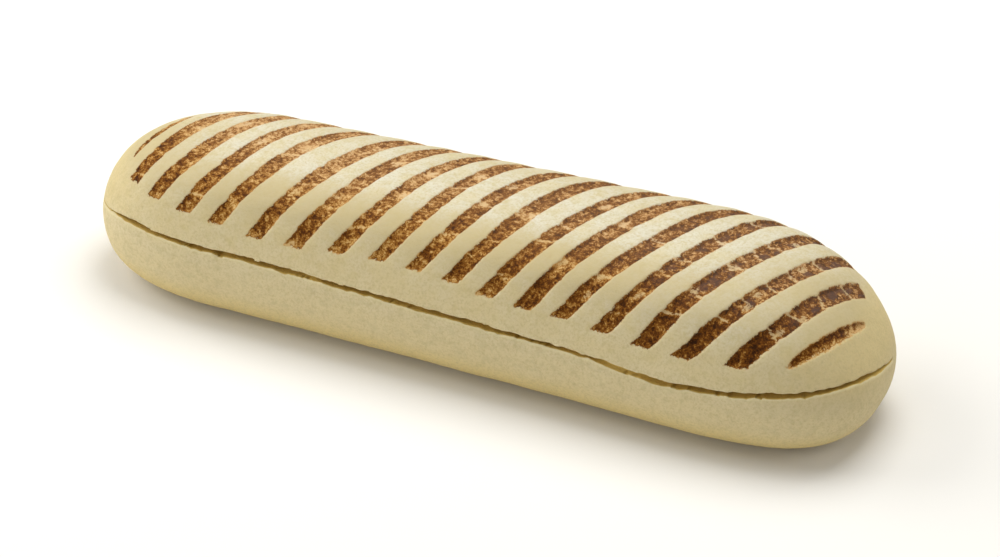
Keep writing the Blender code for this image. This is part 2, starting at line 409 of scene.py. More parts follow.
@dataclass(frozen=True)
class HingeCut:
    """The torn slot that the blade left along the near side, short of the far side.

    The line and the openings are levels and widths at places along X, all in millimetres.  A
    shallow stretch has its place, its reach and how much of the depth it takes, and a step
    inwards its depth and how much of the opening is left there.
    """

    line: tuple[Pair, ...] = (
        (-140, 29.5), (-127, 29.9), (-115, 30.6), (-100, 29.7), (-84, 29.1), (-66, 29.3),
        (-50, 28.7), (-25, 28.1), (0, 27.5), (25, 26.9), (50, 26.2), (61, 24.9), (73, 24.1),
        (85, 24.9), (96, 25.8), (107, 27.7), (117, 29.5), (126, 31.8), (132, 32.9), (140, 30.5),
    )
    sag: float = 0.65 * MM
    sink: float = 0.2
    near_side: float = -40 * MM
    back: float = 3 * MM
    openings: tuple[Pair, ...] = (
        (-140, 0.35), (-122, 0.4), (-116, 1.6), (-90, 1.7), (-52, 1.9), (-44, 1.5), (-36, 1.8),
        (22, 1.8), (32, 1.3), (48, 1.1), (57, 1.8), (66, 2.0), (80, 1.9), (104, 1.8), (135, 1.4),
    )
    hairline: float = 0.3 * MM
    fading: float = 9 * MM
    shallows: tuple[tuple[float, float, float], ...] = (
        (-45, 5, 0.65), (-104, 3, 0.3), (-8, 3, 0.35), (44, 4, 0.3), (60, 14, 0.7),
    )
    wander: float = 0.2 * MM
    wander_length: float = 14 * MM
    wander_seed: float = 3.1
    tear: float = 0.45 * MM
    rough_size: Pair = (3.2 * MM, 6 * MM)
    fine_size: Pair = (1.1 * MM, 3 * MM)
    fine_share: float = 0.7
    tear_seeds: Pair = (9.7, 5.3)
    band: float = 5 * MM
    steps: tuple[Pair, ...] = ((0.9, 0.85), (2.2, 0.6), (4.6, 0.25))
    plane_tolerance: float = 0.02 * MM
    far_off: float = 50

    @staticmethod
    def eased(table: tuple[Pair, ...], x: float) -> float:
        """A value that eases from each place of a table to the next.

        Args:
            table: places along the loaf and the values there, in millimetres.
            x: the place along the loaf, in metres.

        Returns:
            The value, in metres.
        """
        for (x_from, value_from), (x_to, value_to) in zip(table, table[1:]):
            if x <= x_to * MM:
                part = float(smooth_step(x_from * MM, x_to * MM, x))
                return (value_from + (value_to - value_from) * part) * MM
        return table[-1][1] * MM

    def slope(self, place: int) -> float:
        """Slope of the line at one of its places, between the places on both sides of it."""
        before, after = self.line[max(place - 1, 0)], self.line[min(place + 1, len(self.line) - 1)]
        return (after[1] - before[1]) / (after[0] - before[0])

    def line_level(self, x: float) -> float:
        """Level of the line, read from a smooth curve through its places.

        Args:
            x: the place along the loaf.

        Returns:
            The level.
        """
        along = x / MM
        passed = [place for place, (start, _) in enumerate(self.line[:-1]) if start <= along]
        here = max(passed, default=0)
        (x_from, start), (x_to, end) = self.line[here], self.line[here + 1]
        length = x_to - x_from
        part = min(max((along - x_from) / length, 0), 1)
        leave, arrive = self.slope(here) * length, self.slope(here + 1) * length
        rise = end - start
        bend, twist = 3 * rise - 2 * leave - arrive, leave + arrive - 2 * rise
        return (start + leave * part + bend * part**2 + twist * part**3) * MM

    def middle_level(self, x: float, y: float) -> float:
        """Level of the middle of the cut."""
        sway = noise.noise(Vector((x / self.wander_length, self.wander_seed, 0)))
        sunk = self.sag + self.sink * (y - self.near_side)
        return self.line_level(x) - sunk + self.wander * sway

    def opening(self, x: float, y: float) -> float:
        """Width of the gap: tight in places, and a hairline where the cut runs out."""
        open_part = float(smooth_step(self.back, self.back - self.fading, y))
        return self.hairline + (self.eased(self.openings, x) - self.hairline) * open_part

    def depth_part(self, x: float) -> float:
        """How deep the gap is at a place along it, with 1 where it is deepest."""
        return 1 - sum(
            share * float(bell((x / MM - place) / reach)) for place, reach, share in self.shallows
        )

    def lip_level(self, x: float, y: float, lip: Lip) -> float:
        """Level of one torn lip.

        Args:
            x: the place along the loaf.
            y: the place across it.
            lip: the lip.

        Returns:
            The level.
        """
        (rough_x, rough_y), (fine_x, fine_y) = self.rough_size, self.fine_size
        rough_seed, fine_seed = self.tear_seeds
        rough = noise.noise(Vector((x / rough_x, lip.value * rough_seed, y / rough_y)))
        fine = noise.noise(Vector((x / fine_x, lip.value * fine_seed, y / fine_y)))
        opening = self.opening(x, y)
        torn = self.tear * (rough + self.fine_share * fine) * min(opening / MM, 1)
        return self.middle_level(x, y) + lip.value * opening / 2 + torn

    def is_near(self, face: bmesh.types.BMFace) -> bool:
        """Whether a face of the skin is close to the cut, on the part of the loaf it runs in."""
        middle = face.calc_center_median()
        off = abs(middle.z - self.middle_level(middle.x, middle.y))
        return middle.y < self.back + self.band and off < self.band

    def is_in_gap(self, face: bmesh.types.BMFace) -> bool:
        """Whether a face of the skin lies between the lips."""
        middle = face.calc_center_median()
        if middle.y > self.back:
            return False
        low, high = (self.lip_level(middle.x, middle.y, lip) for lip in (Lip.LOWER, Lip.UPPER))
        return low < middle.z < high

    def split(self, shape: bmesh.types.BMesh, lip: Lip) -> None:
        """Split the skin along one lip, levelling the whole lip while a flat plane cuts it.

        Args:
            shape: the loaf's skin.
            lip: the lip to split along.
        """
        faces = [face for face in shape.faces if self.is_near(face)]
        edges = {edge for face in faces for edge in face.edges}
        corners = {corner for face in faces for corner in face.verts}
        for corner in shape.verts:
            corner.co.z -= self.lip_level(corner.co.x, corner.co.y, lip)
        bmesh.ops.bisect_plane(
            shape,
            geom=faces + list(edges) + list(corners),
            dist=self.plane_tolerance,
            plane_co=(0, 0, 0),
            plane_no=(0, 0, 1),
        )
        for corner in shape.verts:
            corner.co.z += self.lip_level(corner.co.x, corner.co.y, lip)

    def open(self, shape: bmesh.types.BMesh) -> None:
        """Sink the skin between the lips into the bread, narrowing inwards.

        Args:
            shape: the loaf's skin, whose corners get layers named crumb and off_cut.
        """
        crumb = shape.verts.layers.float.new("crumb")
        off_cut = shape.verts.layers.float.new("off_cut")
        self.split(shape, Lip.UPPER)
        self.split(shape, Lip.LOWER)
        for corner in shape.verts:
            height = corner.co.z - self.middle_level(corner.co.x, corner.co.y)
            corner[off_cut] = height / MM if corner.co.y < self.back else self.far_off
        strip = [face for face in shape.faces if self.is_in_gap(face)]
        depth_before, narrow_before = 0.0, 1.0
        for depth, narrow in self.steps:
            sunk = bmesh.ops.extrude_face_region(shape, geom=strip)["geom"]
            covers = [face for face in strip if face.is_valid]
            bmesh.ops.delete(shape, geom=covers, context="FACES")
            strip = [item for item in sunk if isinstance(item, bmesh.types.BMFace)]
            inner = [item for item in sunk if isinstance(item, bmesh.types.BMVert)]
            shape.normal_update()
            for corner in inner:
                inwards = -Vector((corner.normal.x, corner.normal.y, 0)).normalized()
                off = corner.co.z - self.middle_level(corner.co.x, corner.co.y)
                corner.co += inwards * (depth - depth_before) * MM * self.depth_part(corner.co.x)
                middle = self.middle_level(corner.co.x, corner.co.y)
                corner.co.z = middle + off * narrow / narrow_before
                corner[crumb] = 1
            depth_before, narrow_before = depth, narrow


# ---------------------------------------------------------------- materials


class Signal:
    """One value or colour on its way through a material, for use in Python expressions."""

    def __init__(self, bench: "Bench", socket: bpy.types.NodeSocket) -> None:
        """Wrap an output socket of one of the bench's nodes."""
        self.bench = bench
        self.socket = socket

    def math(self, operation: str, *values: Value) -> "Signal":
        """The result of a Math node on these values."""
        settings = {"operation": operation}
        return self.bench.add("ShaderNodeMath", settings, dict(enumerate(values)))

    def __add__(self, other: Value) -> "Signal":
        """Sum."""
        return self.math("ADD", self, other)

    def __radd__(self, other: Value) -> "Signal":
        """Sum, from the right."""
        return self.math("ADD", other, self)

    def __sub__(self, other: Value) -> "Signal":
        """Difference."""
        return self.math("SUBTRACT", self, other)

    def __rsub__(self, other: Value) -> "Signal":
        """Difference, from the right."""
        return self.math("SUBTRACT", other, self)

    def __mul__(self, other: Value) -> "Signal":
        """Product."""
        return self.math("MULTIPLY", self, other)

    def __rmul__(self, other: Value) -> "Signal":
        """Product, from the right."""
        return self.math("MULTIPLY", other, self)

    def __abs__(self) -> "Signal":
        """Size, whatever the sign."""
        return self.math("ABSOLUTE", self)

    def root(self) -> "Signal":
        """Square root."""
        return self.math("SQRT", self)

    def at_least(self, other: Value) -> "Signal":
        """The larger of the two."""
        return self.math("MAXIMUM", self, other)

    def ramp(self, low: float, high: float) -> "Signal":
        """Ease from 0 to 1.

        Args:
            low: the value up to which it is 0.
            high: the value from which it is 1; it may be the lower of the two.

        Returns:
            Where this value has got to.
        """
        if low > high:
            return 1 - self.ramp(high, low)
        return self.bench.add(
            "ShaderNodeMapRange",
            {"interpolation_type": "SMOOTHSTEP", "clamp": True},
            {"Value": self, "From Min": low, "From Max": high},
        )


@dataclass(frozen=True)
class Grain:
    """Soft noise of one size.

    Detail is how many finer layers it has, roughness how strong they are, and twist how far it
    is warped.
    """

    size: float
    detail: float = 2
    roughness: float = 0.5
    twist: float = 0


class Bench:
    """Adds nodes to one material and wires them."""

    def __init__(self, material: bpy.types.Material) -> None:
        """Start on a material that uses nodes."""
        self.tree = material.node_tree

    def add(
        self,
        kind: str,
        settings: dict[str, object],
        sockets: dict[str | int, Value],
        output: str | int = 0,
    ) -> Signal:
        """Add one node.

        Args:
            kind: the node's type.
            settings: its own settings, set first; "stops" fills a colour ramp.
            sockets: values or signals, by the name or number of the input.
            output: the name or number of the output to carry on with.

        Returns:
            The signal of that output.
        """
        node = self.tree.nodes.new(kind)
        for name, setting in settings.items():
            if name == "stops":
                self.fill_ramp(node.color_ramp, setting)
            else:
                setattr(node, name, setting)
        for name, value in sockets.items():
            self.feed(node.inputs[name], value)
        return Signal(self, node.outputs[output])

    def fill_ramp(self, ramp: bpy.types.ColorRamp, stops: list[tuple[float, Colour]]) -> None:
        """Give a colour ramp its stops.

        Args:
            ramp: the node's ramp.
            stops: the place, from 0 to 1, and the colour of each.
        """
        while len(ramp.elements) < len(stops):
            ramp.elements.new(1)
        for element, (place, colour) in zip(ramp.elements, stops):
            element.position = place
            element.color = (*colour, 1)

    def feed(self, socket: bpy.types.NodeSocket, value: Value) -> None:
        """Link a signal to an input, or set the input's own value.

        Args:
            socket: the input.
            value: the signal, number, vector or colour for it.
        """
        if isinstance(value, Signal):
            self.tree.links.new(value.socket, socket)
        elif isinstance(value, tuple) and socket.type == "RGBA":
            socket.default_value = (*value, 1)
        else:
            socket.default_value = value

    def noise(self, vector: Signal, grain: Grain) -> Signal:
        """Soft noise about 0.5.

        Args:
            vector: the coordinates, in metres.
            grain: the noise's size and make.

        Returns:
            The noise's value.
        """
        sockets = {
            "Vector": vector,
            "Scale": 1 / grain.size,
            "Detail": grain.detail,
            "Roughness": grain.roughness,
            "Distortion": grain.twist,
        }
        return self.add("ShaderNodeTexNoise", {}, sockets)

    def pebbles(self, vector: Signal, size: float) -> Signal:
        """One chance value, from 0 to 1, for each cell of a pattern of cells."""
        sockets = {"Vector": vector, "Scale": 1 / size}
        return self.parts(self.add("ShaderNodeTexVoronoi", {"feature": "F1"}, sockets, "Color"))[0]

    def mix(self, factor: Value, start: Value, end: Value) -> Signal:
        """Mix two colours.

        Args:
            factor: how much of the end colour there is.
            start: the first colour.
            end: the second colour.

        Returns:
            The mixed colour.
        """
        settings = {"data_type": "RGBA", "blend_type": "MIX", "clamp_factor": True}
        return self.add("ShaderNodeMix", settings, {0: factor, 6: start, 7: end}, 2)

    def stretched(self, vector: Signal, scale: Place) -> Signal:
        """Coordinates stretched by a Mapping node."""
        sockets = {"Vector": vector, "Scale": scale}
        return self.add("ShaderNodeMapping", {"vector_type": "POINT"}, sockets)

    def attribute(self, name: str, output: str = "Vector") -> Signal:
        """An attribute of the piece's own mesh."""
        settings = {"attribute_type": "GEOMETRY", "attribute_name": name}
        return self.add("ShaderNodeAttribute", settings, {}, output)

    def parts(self, vector: Signal) -> list[Signal]:
        """The three parts of a vector."""
        first = self.add("ShaderNodeSeparateXYZ", {}, {0: vector})
        return [Signal(self, output) for output in first.socket.node.outputs]

    def bump(
        self, height: Signal, distance: float, strength: float, under: Signal | None = None
    ) -> Signal:
        """Relief in the normal.

        Args:
            height: the relief, about 0 to 1.
            distance: the depth of the whole relief, in metres.
            strength: how much of it shows.
            under: a normal to add it to.

        Returns:
            The normal.
        """
        sockets = {"Height": height, "Distance": distance, "Strength": strength}
        if under:
            sockets["Normal"] = under
        return self.add("ShaderNodeBump", {}, sockets)


class CrustPoint:
    """What the material reads at each point of the crust.

    Places on the loaf are in metres.  Distances in a mark and from the cut are in millimetres.
    """

    def __init__(self, bench: Bench, finish: "CrustFinish") -> None:
        """Read the piece's coordinates and layers.

        Args:
            bench: the material's bench.
            finish: the finish, with the grains and the zones that they need.
        """
        self.place = bench.add("ShaderNodeTexCoord", {}, {}, "Object")
        self.lengthwise, self.sideways, self.level = bench.parts(self.place)
        self.edge, self.across, self.near = bench.parts(bench.attribute("mark"))
        self.far, self.number, self.bare = bench.parts(bench.attribute("grill"))
        self.off_cut = bench.attribute("off_cut", "Fac")
        self.crumb = bench.attribute("crumb", "Fac").ramp(*finish.crumb_edge)
        self.outward = bench.attribute("outward", "Fac")
        self.turn = self.number * (1 / finish.middle_mark) - 1
        self.last = self.number.ramp(*finish.last_mark)
        self.mottle = bench.noise(self.place, finish.mottles) - 0.5
        self.grain = bench.noise(self.place, finish.grains) - 0.5


@dataclass(frozen=True)
class CrustFinish:
    """Soft pale crust with grilled marks: every colour, grain size and zone of it.

    A span says where a change starts and where it is complete: in metres along, across or up
    the loaf, in millimetres in a mark or from the cut, in marks, or outwards from 0 on the
    loaf's core to 1 at its outline seen from above.  A share says how much of it shows, and
    shares go in the order in which their signals are read.  A relief has a depth and a strength.
    """

    cream: Colour = srgb(207, 201, 180)
    cream_warm: Colour = srgb(204, 193, 160)
    olive: Colour = srgb(208, 191, 146)
    shade: Colour = srgb(188, 175, 134)
    speck: Colour = srgb(184, 168, 124)
    # the upper right end: partly a darker bake, partly painted shade
    baked: Colour = srgb(180, 162, 116)
    # painted shade over the shoulders, a little yellower as well
    shoulder_shade: Colour = srgb(180, 163, 118)
    # a yellower band at mid height, and painted warm bounce light low on the belly
    tint_and_bounce: Colour = srgb(212, 190, 128)
    browns: tuple[tuple[float, Colour], ...] = (
        (0.0, srgb(52, 25, 2)),
        (0.28, srgb(91, 49, 6)),
        (0.48, srgb(128, 79, 22)),
        (0.66, srgb(170, 125, 60)),
        (0.85, srgb(203, 166, 106)),
    )
    # painted sheen: a greyish haze over the toasted parts of the marks
    painted_sheen: Colour = srgb(202, 168, 134)
    ash: Colour = srgb(84, 61, 55)
    gold: Colour = srgb(190, 142, 78)
    crumb: Colour = srgb(196, 167, 92)
    # painted highlight along the cut's lower lip
    lip: Colour = srgb(218, 205, 160)

    blotches: Grain = Grain(8 * MM, 3, 0.55)
    clouds: Grain = Grain(2.6 * MM, 4, 0.7)
    specks: Grain = Grain(0.8 * MM, 3, 0.7)
    mottles: Grain = Grain(1.35 * MM, 3, 0.64, 0.4)
    grains: Grain = Grain(0.46 * MM, 2, 0.6)
    waves: Grain = Grain(3.2 * MM, 1)
    patches: Grain = Grain(4.5 * MM)
    pores: Grain = Grain(0.7 * MM, 3, 0.65)
    wrinkles: Grain = Grain(2.6 * MM, 2, 0.6)
    wrinkle_stretch: Place = (1, 0.55, 1)
    wrinkle_relief: Pair = (0.35 * MM, 0.5)
    pore_relief: Pair = (0.2 * MM, 0.7)
    blister_relief: Pair = (0.35 * MM, 0.5)
    blister_grain: float = 0.6
    pebble_size: float = 1.0 * MM

    warm_blotches: Span = (0.35, 0.7)
    dark_clouds: Span = (0.42, 0.75)
    dark_specks: Span = (0.42, 0.74)
    olive_levels: Span = (46 * MM, 14 * MM)
    olive_wander: float = 10 * MM
    olive_ends: Span = (98 * MM, 134 * MM)
    olive_share: float = 0.9
    cloud_share: float = 0.75
    speck_share: float = 0.7
    # where the darker bake and painted shade of the upper right end lie
    bake_and_shade_end: Span = (85 * MM, 130 * MM)
    bake_and_shade_levels: Span = (16 * MM, 28 * MM)
    bake_and_shade_share: float = 0.38
    # where the painted shade over the shoulders lies, weaker on the far side and towards both ends
    shoulder_shade_start: Span = (0.15, 0.6)
    shoulder_shade_stop: Span = (0.72, 1.02)
    shoulder_shade_levels: Span = (26 * MM, 32 * MM)
    shoulder_shade_share: float = 0.82
    far_side: Span = (-4 * MM, 12 * MM)
    far_share: float = 0.5
    right_part: Span = (40 * MM, 100 * MM)
    right_share: float = 0.25
    left_part: Span = (-60 * MM, -110 * MM)
    left_share: float = 0.15
    flank_top: Span = (43 * MM, 37 * MM)
    flank_foot: Span = (22 * MM, 30 * MM)
    flank_share: float = 0.3
    # where the painted warm bounce light lies, low on the belly
    bounce_levels: Span = (15 * MM, 5 * MM)
    bounce_share: float = 0.85
    # where the painted highlight along the cut's lower lip lies
    lip_highlight_foot: Span = (-1.9, -0.9)
    lip_highlight_top: Span = (-0.7, -0.3)
    lip_highlight_share: float = 0.6

    corner: float = 0.6
    end_fray: float = 1.5
    fray_shares: tuple[float, float, float] = (1.1, 0.9, 0.6)
    fringe_share: float = 2.2
    fringe_loss: float = 0.2
    crumb_edge: Span = (0.01, 0.15)
    middle_mark: float = 9
    last_mark: Span = (17.4, 17.6)
    last_fringe: Span = (-0.4, 1.2)
    last_fade: Span = (-0.9, 1.3)
    mark_edge: Span = (-0.15, 0.2)
    bald_edge: Span = (0.5, 0.72)
    bald_grain: Pair = (1.3, 0.8)
    bald_marks: Span = (11, 15)
    bald_shares: Pair = (0.3, 0.35)
    halo_edge: Span = (-0.5, 0.1)
    halo_share: float = 0.28
    last_halo: float = 0.45
    scorched: tuple[float, float, float] = (0.57, 0.22, 0.5)
    toasted: Pair = (0.58, 0.46)
    toasting: Span = (6, 48)
    fleck_shares: tuple[float, float, float] = (1.6, 0.75, 0.16)
    fleck_strength: float = 0.84
    strong_marks: Span = (0.2, 0.8)
    strong_shares: Pair = (0.3, 0.03)
    darkest: float = 0.295
    tone_share: float = 0.34
    patch_share: float = 0.75
    rim_edge: Span = (0.9, 0.2)
    rim_dark: float = 0.09
    core_edge: Span = (0.7, 1.6)
    core_marks: Span = (0.25, 0.8)
    core_start: Span = (18, 30)
    core_patches: Span = (0.0, -0.08)
    core_dark: float = 0.08
    core_ash: float = 0.58
    bare_pale: float = 0.4
    tip_reach: Span = (5, 1.5)
    tip_pale: float = 0.12
    last_pale: Pair = (0.12, 0.3)
    # how much painted sheen lies on the toasted parts, more on the lighter browns
    sheen_browns: Span = (0.4, 0.8)
    sheen_shares: Pair = (0.09, 0.29)

    roughness: float = 0.75
    rough_shares: Pair = (0.2, 0.05)
    gloss: float = 0.08
    subsurface: float = 0.06
    subsurface_reach: float = 2.0 * MM
    subsurface_parts: Colour = (1.0, 0.55, 0.25)

    def dress(self, name: str) -> bpy.types.Material:
        """Make the material.

        Args:
            name: the material's name.

        Returns:
            The material.
        """
        material = bpy.data.materials.new(name)
        material.use_nodes = True
        bench = Bench(material)
        shader = material.node_tree.nodes["Principled BSDF"]
        point = CrustPoint(bench, self)

        inside = self.inside(bench, point)
        mottled, grained = self.bald_grain
        bald = point.bare + point.mottle * mottled + point.grain * grained
        least, gain = self.bald_shares
        missed = bald.ramp(*self.bald_edge) * (least + point.number.ramp(*self.bald_marks) * gain)
        mark = inside.ramp(*self.mark_edge) * (1 - missed)
        halo = inside.ramp(*self.halo_edge) * (self.halo_share + point.last * self.last_halo)
        colour = bench.mix(halo, self.crust_colour(bench, point), self.gold)
        colour = bench.mix(mark, colour, self.grilled_colour(bench, point, inside))
        colour = bench.mix(point.crumb, colour, self.crumb)
        bench.feed(shader.inputs["Base Color"], colour)

        grained, smoothed = self.rough_shares
        rough = self.roughness + point.grain * grained - mark * smoothed
        bench.feed(shader.inputs["Roughness"], rough)
        bench.feed(shader.inputs["Normal"], self.relief(bench, point, mark))
        shader.inputs["Specular IOR Level"].default_value = self.gloss
        shader.inputs["Subsurface Weight"].default_value = self.subsurface
        shader.inputs["Subsurface Radius"].default_value = self.subsurface_parts
        shader.inputs["Subsurface Scale"].default_value = self.subsurface_reach
        return material

    def inside(self, bench: Bench, point: CrustPoint) -> Signal:
        """How deep a point is inside its mark's ragged, round-cornered edge.

        Args:
            bench: the material's bench.
            point: what the material reads.

        Returns:
            The depth, in millimetres, negative outside the mark.
        """
        waved = bench.noise(point.place, self.waves) - 0.5
        depths = (point.edge, point.near + point.mottle * self.end_fray, point.far)
        short = [(self.corner - depth).at_least(0) for depth in depths]
        side, near_end, far_end = (part * part for part in short)
        rounded = self.corner - (side + near_end + far_end).root()
        mottled, grained, wavy = self.fray_shares
        frayed = rounded + point.mottle * mottled + point.grain * grained + waved * wavy
        fringe = point.last * point.across.ramp(*self.last_fringe)
        return frayed + fringe * (point.mottle * self.fringe_share - self.fringe_loss)

    def crust_colour(self, bench: Bench, point: CrustPoint) -> Signal:
        """The pale crust: cream on the crown, olive lower down, painted shade over the shoulders.

        Args:
            bench: the material's bench.
            point: what the material reads.

        Returns:
            The colour.
        """
        blotches = bench.noise(point.place, self.blotches)
        clouds = bench.noise(point.place, self.clouds).ramp(*self.dark_clouds)
        specks = bench.noise(point.place, self.specks).ramp(*self.dark_specks)
        colour = bench.mix(blotches.ramp(*self.warm_blotches), self.cream, self.cream_warm)

        low = (point.level + (blotches - 0.5) * self.olive_wander).ramp(*self.olive_levels)
        ends = abs(point.lengthwise).ramp(*self.olive_ends)
        olive = (low * self.olive_share).at_least(ends * self.olive_share)
        colour = bench.mix(olive, colour, self.olive)
        colour = bench.mix(clouds * self.cloud_share, colour, self.shade)

        # darker upper right end: partly a darker bake, partly painted shade
        baked = point.lengthwise.ramp(*self.bake_and_shade_end) * point.level.ramp(*self.bake_and_shade_levels)
        colour = bench.mix(baked * self.bake_and_shade_share, colour, self.baked)

        # painted shade where the crown turns down over the shoulders, weaker on the far side and
        # towards both ends
        shoulder_shading = point.outward.ramp(*self.shoulder_shade_start)
        shoulder_shading = shoulder_shading * (1 - point.outward.ramp(*self.shoulder_shade_stop))
        shoulder_shading = shoulder_shading * point.level.ramp(*self.shoulder_shade_levels)
        weaker = point.lengthwise.ramp(*self.right_part) * self.right_share
        weaker = weaker + point.lengthwise.ramp(*self.left_part) * self.left_share
        far_side = point.sideways.ramp(*self.far_side) * self.far_share
        shoulder_shading = shoulder_shading * (self.shoulder_shade_share - far_side - weaker)
        colour = bench.mix(shoulder_shading, colour, self.shoulder_shade)

        # a yellower band at mid height, and painted warm bounce light low on the belly, near the
        # floor
        flank = point.level.ramp(*self.flank_top) * point.level.ramp(*self.flank_foot)
        tint_and_bounce = point.level.ramp(*self.bounce_levels) * self.bounce_share
        colour = bench.mix(flank * self.flank_share + tint_and_bounce, colour, self.tint_and_bounce)
        colour = bench.mix(specks * self.speck_share, colour, self.speck)
        # painted highlight along the cut's lower lip
        lip = point.off_cut.ramp(*self.lip_highlight_foot) * (1 - point.off_cut.ramp(*self.lip_highlight_top))
        return bench.mix(lip * self.lip_highlight_share, colour, self.lip)

    def grilled_colour(self, bench: Bench, point: CrustPoint, inside: Signal) -> Signal:
        """The mottled browns of a grill mark.

        The near ends are scorched and the rest is toasted, each by how far along the loaf the
        mark is.  Dark cores, a dark rim, pale tips, and the last mark's fading side come on top,
        with a painted sheen, greyish, over the toasted parts.

        Args:
            bench: the material's bench.
            point: what the material reads.
            inside: depth inside the mark's ragged edge, in millimetres.

        Returns:
            The colour.
        """
        turn, near, last = point.turn, point.near, point.last
        along = near.ramp(*self.toasting)
        base, fall, sides = self.scorched
        scorched = base - turn * fall - turn * turn * sides
        base, fall = self.toasted
        toasted = base - turn * fall
        tone = scorched + (toasted - scorched) * along

        patches = bench.noise(point.place, self.patches) - 0.5
        pebbles = bench.pebbles(point.place, self.pebble_size) - 0.5
        mottled, grained, pebbled = self.fleck_shares
        flecks = point.mottle * mottled + point.grain * grained + pebbles * pebbled
        gain, least = self.strong_shares
        strong = self.fleck_strength + along * (turn.ramp(*self.strong_marks) * gain + least)
        shade = self.darkest + tone * self.tone_share + flecks * strong
        shade = shade + patches * self.patch_share

        rim = inside.ramp(*self.rim_edge)
        core = point.edge.ramp(*self.core_edge) * turn.ramp(*self.core_marks)
        core = core * near.ramp(*self.core_start) * patches.ramp(*self.core_patches)
        tip = near.ramp(*self.tip_reach) * (1 - turn * turn)
        least, gain = self.last_pale
        fading = last * (least + point.across.ramp(*self.last_fade) * gain)
        shade = shade - rim * self.rim_dark - core * self.core_dark
        shade = shade + point.bare * self.bare_pale + tip * self.tip_pale + fading

        colour = bench.add("ShaderNodeValToRGB", {"stops": self.browns}, {"Fac": shade})
        colour = bench.mix(core * self.core_ash, colour, self.ash)
        # painted sheen: a greyish haze over the toasted parts, most on the lighter browns
        least, gain = self.sheen_shares
        painted_sheen = along * (least + shade.ramp(*self.sheen_browns) * gain)
        return bench.mix(painted_sheen, colour, self.painted_sheen)

    def relief(self, bench: Bench, point: CrustPoint, mark: Signal) -> Signal:
        """Fine pores and faint wrinkles, blistered marks and torn crumb.

        Args:
            bench: the material's bench.
            point: what the material reads.
            mark: 1 in the grill marks and 0 outside them.

        Returns:
            The normal.
        """
        wrinkled = bench.stretched(point.place, self.wrinkle_stretch)
        wrinkles = bench.noise(wrinkled, self.wrinkles)
        pores = bench.noise(point.place, self.pores)
        blisters = (point.mottle + point.grain * self.blister_grain) * (mark + point.crumb)
        normal = bench.bump(wrinkles, *self.wrinkle_relief)
        normal = bench.bump(pores, *self.pore_relief, normal)
        return bench.bump(blisters, *self.blister_relief, normal)


# ---------------------------------------------------------------- the loaf


@dataclass
class MarkLines:
    """The middle lines of the marks round the loaf, one row a mark and one column an angle.

    traces holds bar numbers and along distances from the crown; levels and down are heights and
    distances down the near side alone; near and far are the distances of the marks' two ends.
    """

    traces: np.ndarray
    along: np.ndarray
    levels: np.ndarray
    down: np.ndarray
    near: np.ndarray
    far: np.ndarray

    @property
    def from_near(self) -> np.ndarray:
        """Distances from the near ends."""
        return self.near[:, None] - self.along


